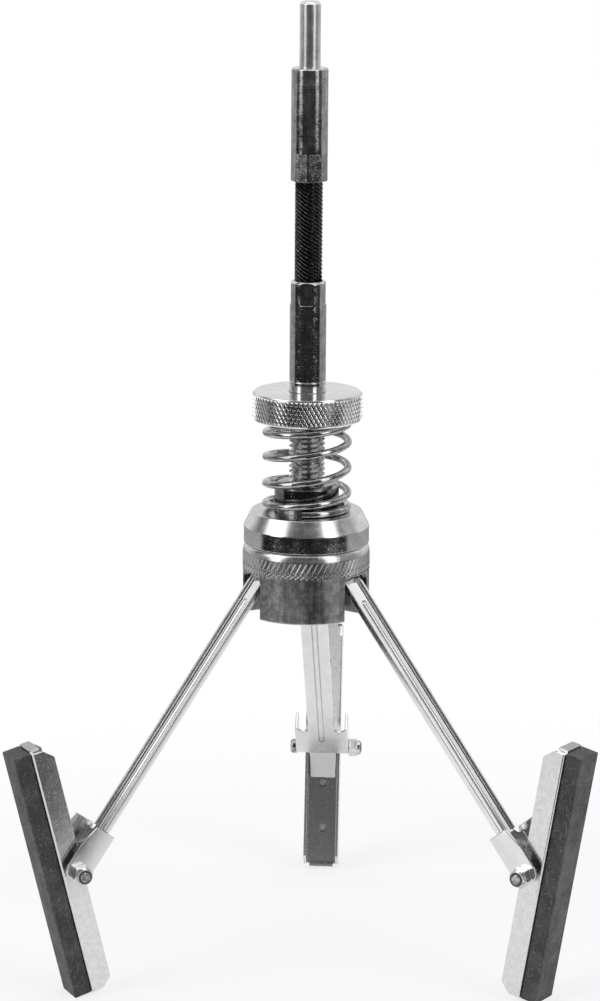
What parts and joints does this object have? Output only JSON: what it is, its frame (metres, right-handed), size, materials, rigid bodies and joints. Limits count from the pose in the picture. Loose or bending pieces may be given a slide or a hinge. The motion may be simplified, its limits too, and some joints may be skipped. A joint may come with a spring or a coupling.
{
  "type": "cylinder hone",
  "caption": "Spring-loaded cylinder hone for a hand drill, with a flexible drive shaft and hinged arms that press pivoting abrasive stones against a bore.",
  "frame": {"origin": "on the hone's axis at the shoulder under the drive shank, where a drill chuck stops", "axes": "+Z along the drive shank towards the drill; the rear leg points along +Y, the others at 210 and 330 degrees from +X"},
  "size_m": [0.226, 0.1979, 0.3798],
  "materials": {
    "satin_steel": "fine satin, bright zinc plate",
    "chrome": "polished, bright nickel plate",
    "dark_chrome": "polished, darker plate",
    "hub_steel": "satin, plated over turned and milled steel",
    "flex_black": "black, slight gloss",
    "stone": "fine dark grey abrasive grain"
  },
  "bodies": {
    "shank": {"drive_shank": "satin_steel", "flex_core": "flex_black", "flex_winding": "flex_black"},
    "spindle": {"spindle": "satin_steel", "hub": "hub_steel", "arm_pin_rear": "satin_steel", "arm_pin_left": "satin_steel", "arm_pin_right": "satin_steel"},
    "nut_carrier": {"tension_spring": "chrome"},
    "nut": {"tension_nut": "satin_steel"},
    "cap": {"pressure_cap": "chrome", "guide_bush": "dark_chrome"},
    "rear_arm": {"arm_rear": "chrome", "pivot_bolt_rear": "satin_steel", "pivot_nut_rear": "satin_steel"},
    "rear_holder": {"stone_holder_rear": "chrome", "stone_rear": "stone"},
    "left_arm": {"arm_left": "chrome", "pivot_bolt_left": "satin_steel", "pivot_nut_left": "satin_steel"},
    "left_holder": {"stone_holder_left": "chrome", "stone_left": "stone"},
    "right_arm": {"arm_right": "chrome", "pivot_bolt_right": "satin_steel", "pivot_nut_right": "satin_steel"},
    "right_holder": {"stone_holder_right": "chrome", "stone_right": "stone"}
  },
  "joints": [
    {"name": "flex_bend", "type": "hinge", "parent": "shank", "child": "spindle", "pos_m": [0, 0, -0.0622], "axis": [0, 1, 0], "range_deg": [-30, 30], "stiffness_Nm_per_rad": 8, "deforming": ["flex_winding", "flex_core"]},
    {"name": "arm_spread", "type": "hinge", "parent": "spindle", "child": "rear_arm", "pos_m": [0, 0.0174, -0.1881], "axis": [1, 0, 0], "range_deg": [-38, 0], "stiffness_Nm_per_rad": 0.19, "springref_deg": 42.4},
    {"name": "rear_stone_align", "type": "hinge", "parent": "rear_arm", "child": "rear_holder", "pos_m": [0, 0.10536, -0.29868], "axis": [1, 0, 0], "range_deg": [0, 49.6]},
    {"name": "left_arm_follow", "type": "hinge", "parent": "spindle", "child": "left_arm", "pos_m": [-0.01507, -0.0087, -0.1881], "axis": [-0.5, 0.866, 0], "range_deg": [-35.7, 0]},
    {"name": "left_stone_align", "type": "hinge", "parent": "left_arm", "child": "left_holder", "pos_m": [-0.08648, -0.04993, -0.30285], "axis": [-0.5, 0.866, 0], "range_deg": [0, 49.6]},
    {"name": "right_arm_follow", "type": "hinge", "parent": "spindle", "child": "right_arm", "pos_m": [0.01507, -0.0087, -0.1881], "axis": [-0.5, -0.866, 0], "range_deg": [-39.6, 0]},
    {"name": "right_stone_align", "type": "hinge", "parent": "right_arm", "child": "right_holder", "pos_m": [0.09307, -0.05373, -0.29697], "axis": [-0.5, -0.866, 0], "range_deg": [0, 49.6]},
    {"name": "cap_lift", "type": "slide", "parent": "spindle", "child": "cap", "axis": [0, 0, 1], "range_m": [0, 0.0037]},
    {"name": "nut_travel", "type": "slide", "parent": "spindle", "child": "nut_carrier", "axis": [0, 0, 1], "range_m": [-0.012, 0], "deforming": ["tension_spring"]},
    {"name": "nut_turn", "type": "hinge", "parent": "nut_carrier", "child": "nut", "pos_m": [0, 0, -0.13], "axis": [0, 0, 1], "range_deg": [-2161, 0]}
  ],
  "couplings": [
    {"joint": "left_arm_follow", "follows": "arm_spread", "ratio": 0.9263},
    {"joint": "right_arm_follow", "follows": "arm_spread", "ratio": 1.0289},
    {"joint": "cap_lift", "follows": "arm_spread", "m_per_rad": -0.0054},
    {"joint": "nut_turn", "follows": "nut_travel", "rad_per_m": 3141.6},
    {"joint": "rear_stone_align", "follows": "arm_spread", "ratio": -1.2921},
    {"joint": "left_stone_align", "follows": "arm_spread", "ratio": -1.2921},
    {"joint": "right_stone_align", "follows": "arm_spread", "ratio": -1.2921}
  ]
}
